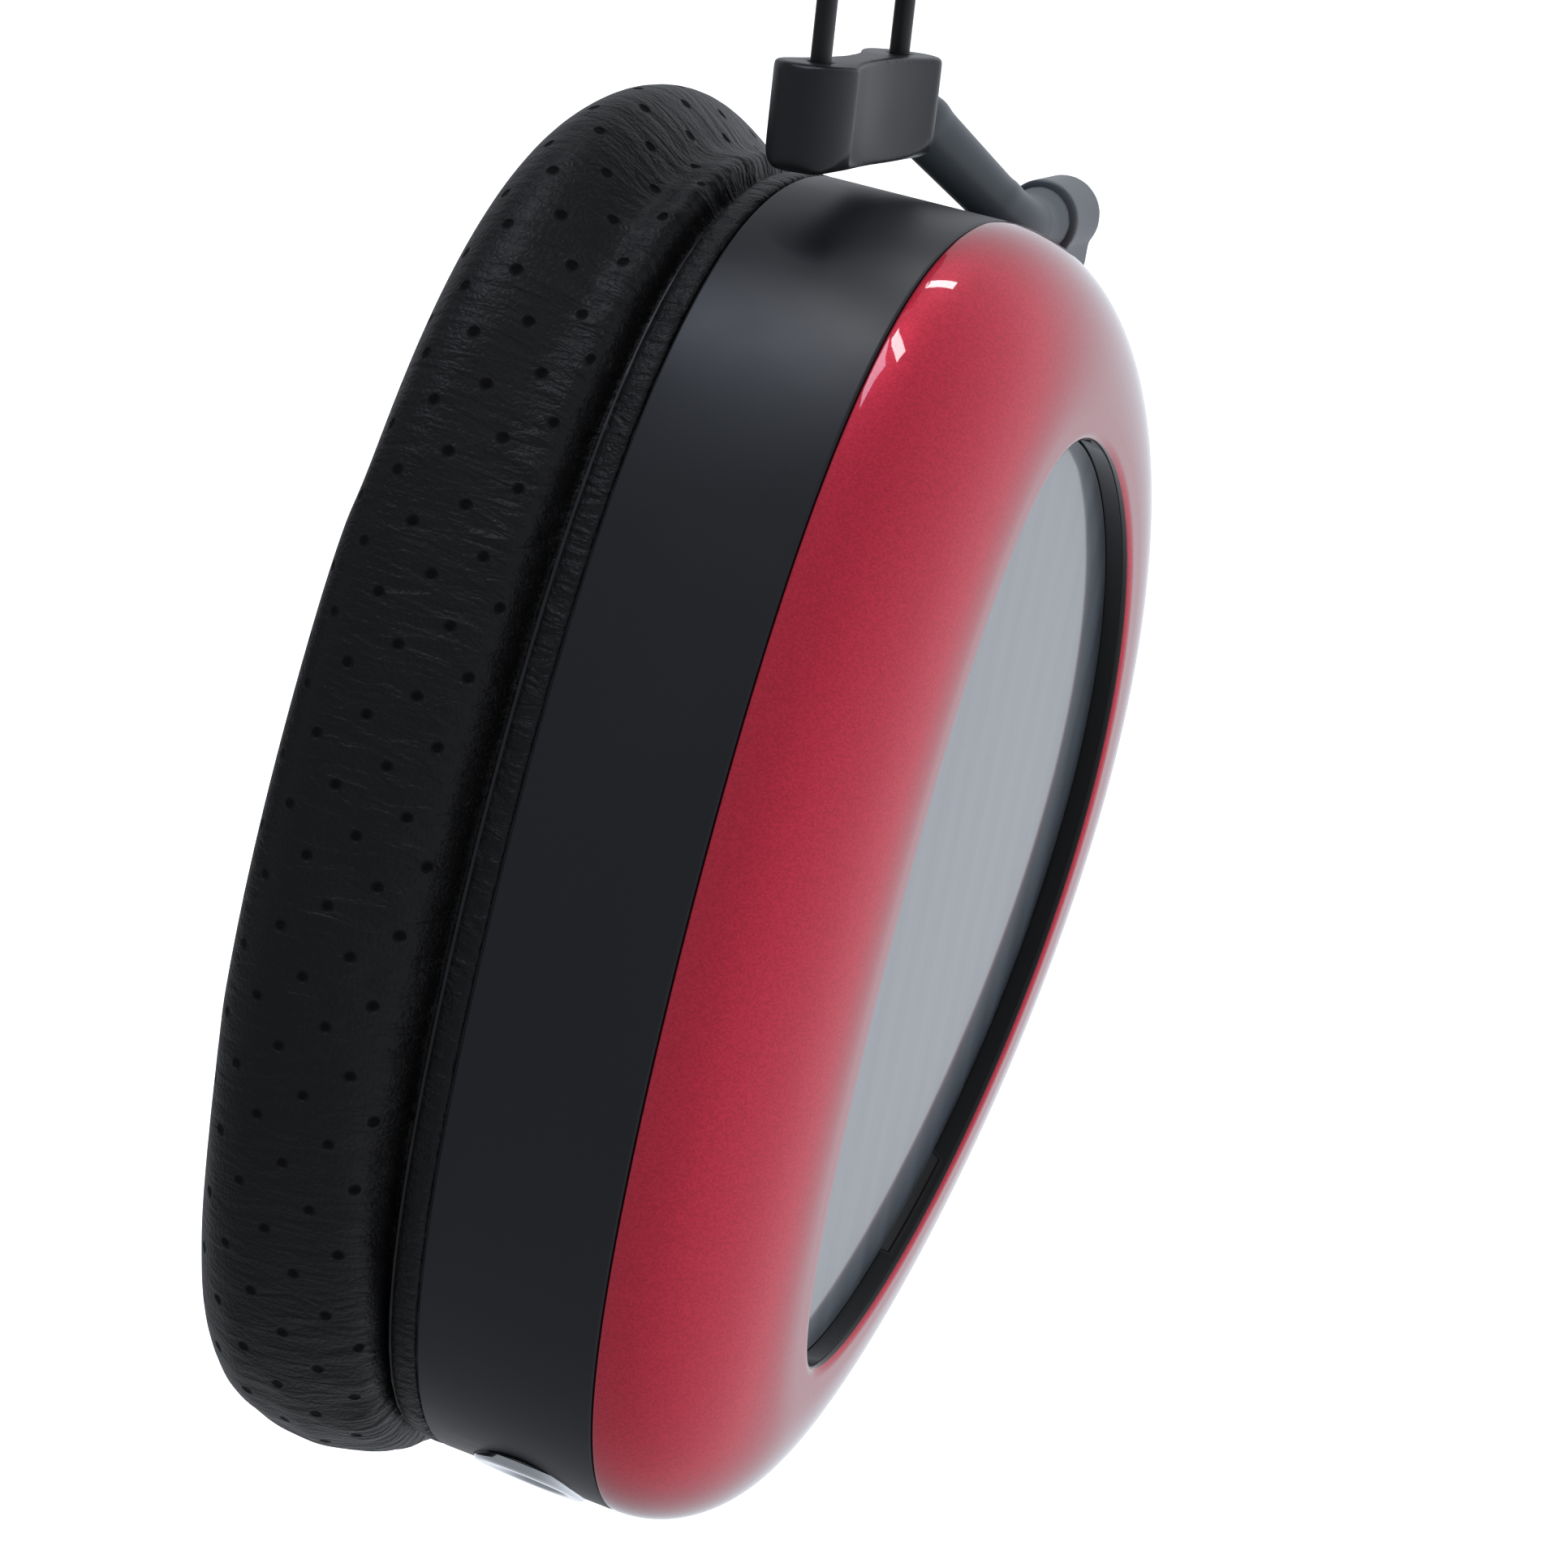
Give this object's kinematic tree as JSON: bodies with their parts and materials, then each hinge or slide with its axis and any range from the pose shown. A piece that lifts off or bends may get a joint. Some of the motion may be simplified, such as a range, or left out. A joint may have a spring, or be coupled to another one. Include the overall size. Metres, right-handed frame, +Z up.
{
  "type": "over-ear headphones",
  "caption": "Over-ear headphones with glossy red teardrop cups, black metal frames, perforated leather pads, one-sided yokes and a wire headband over a strap.",
  "frame": {"origin": "middle of the strap's underside, where the head or a stand carries the headphones", "axes": "+X towards the wearer's left, +Y towards the back of the head, +Z up"},
  "size_m": [0.2316, 0.0948, 0.2245],
  "materials": {
    "strap_leather": "matte, fine grain, stitched edges",
    "spring_wire": "satin black coating",
    "block_black": "satin black, bead blasted",
    "screw_steel": "plain zinc plated",
    "dark_steel": "blackened",
    "arm_black": "satin black",
    "frame_black": "satin black with a cool sheen",
    "black_moulding": "fine spark texture",
    "pad_leather": "soft, perforated, lightly creased",
    "dust_cloth": "open knit",
    "red_lacquer": "candy red metallic under clear lacquer",
    "inlay_gloss": "glossy woven fibre look under clear resin",
    "driver_moulding": "satin",
    "gasket_rubber": "matte",
    "stator_steel": "plated sheet",
    "magnet_alloy": "nickel plated",
    "diaphragm_film": "thin amber film",
    "damping_felt": "pressed felt",
    "socket_chrome": "polished",
    "contact_brass": "gold flashed",
    "lead_sleeve": "satin insulation"
  },
  "bodies": {
    "strap": {"headband_strap": "strap_leather", "left_strap_slider": "block_black", "left_slider_screws": "screw_steel", "right_strap_slider": "block_black", "right_slider_screws": "screw_steel"},
    "headband": {"wire_front": "spring_wire", "wire_rear": "spring_wire", "left_end_block": "block_black", "left_grub_screws": "dark_steel", "left_swivel_pin": "dark_steel", "right_end_block": "block_black", "right_grub_screws": "dark_steel", "right_swivel_pin": "dark_steel"},
    "left_yoke": {"left_yoke_arm": "arm_black", "left_pivot_screw": "arm_black"},
    "left_cup": {"left_pivot_bracket": "arm_black", "left_bracket_screws": "screw_steel", "left_cup_frame": "frame_black", "left_baffle": "black_moulding", "left_baffle_screws": "screw_steel", "left_pad_ring": "black_moulding", "left_ear_pad": "pad_leather", "left_dust_cloth": "dust_cloth", "left_outer_cover": "red_lacquer", "left_inlay_panel": "inlay_gloss", "left_driver_carrier": "driver_moulding", "left_driver_gasket": "gasket_rubber", "left_driver_screws": "screw_steel", "left_stators": "stator_steel", "left_magnets": "magnet_alloy", "left_diaphragm": "diaphragm_film", "left_damping_felt": "damping_felt", "left_socket_ring": "socket_chrome", "left_socket_insulator": "black_moulding", "left_socket_contacts": "contact_brass", "left_driver_leads": "lead_sleeve"},
    "right_yoke": {"right_yoke_arm": "arm_black", "right_pivot_screw": "arm_black"},
    "right_cup": {"right_pivot_bracket": "arm_black", "right_bracket_screws": "screw_steel", "right_cup_frame": "frame_black", "right_baffle": "black_moulding", "right_baffle_screws": "screw_steel", "right_pad_ring": "black_moulding", "right_ear_pad": "pad_leather", "right_dust_cloth": "dust_cloth", "right_outer_cover": "red_lacquer", "right_inlay_panel": "inlay_gloss", "right_driver_carrier": "driver_moulding", "right_driver_gasket": "gasket_rubber", "right_driver_screws": "screw_steel", "right_stators": "stator_steel", "right_magnets": "magnet_alloy", "right_diaphragm": "diaphragm_film", "right_damping_felt": "damping_felt", "right_socket_ring": "socket_chrome", "right_socket_insulator": "black_moulding", "right_socket_contacts": "contact_brass", "right_driver_leads": "lead_sleeve"}
  },
  "joints": [
    {"name": "strap_slide", "type": "slide", "parent": "strap", "child": "headband", "axis": [0, 0, 1], "range_m": [-0.017, 0.0065]},
    {"name": "left_swivel", "type": "hinge", "parent": "headband", "child": "left_yoke", "pos_m": [0.0934, 0.0087, -0.067], "axis": [0, 0, 1], "range_deg": [-15, 15]},
    {"name": "left_tilt", "type": "hinge", "parent": "left_yoke", "child": "left_cup", "pos_m": [0.10127, 0.0316, -0.07542], "axis": [0, 1, 0], "range_deg": [-10, 10]},
    {"name": "right_swivel", "type": "hinge", "parent": "headband", "child": "right_yoke", "pos_m": [-0.0934, 0.0087, -0.067], "axis": [0, 0, 1], "range_deg": [-15, 15]},
    {"name": "right_tilt", "type": "hinge", "parent": "right_yoke", "child": "right_cup", "pos_m": [-0.10127, 0.0316, -0.07542], "axis": [0, 1, 0], "range_deg": [-10, 10]}
  ]
}
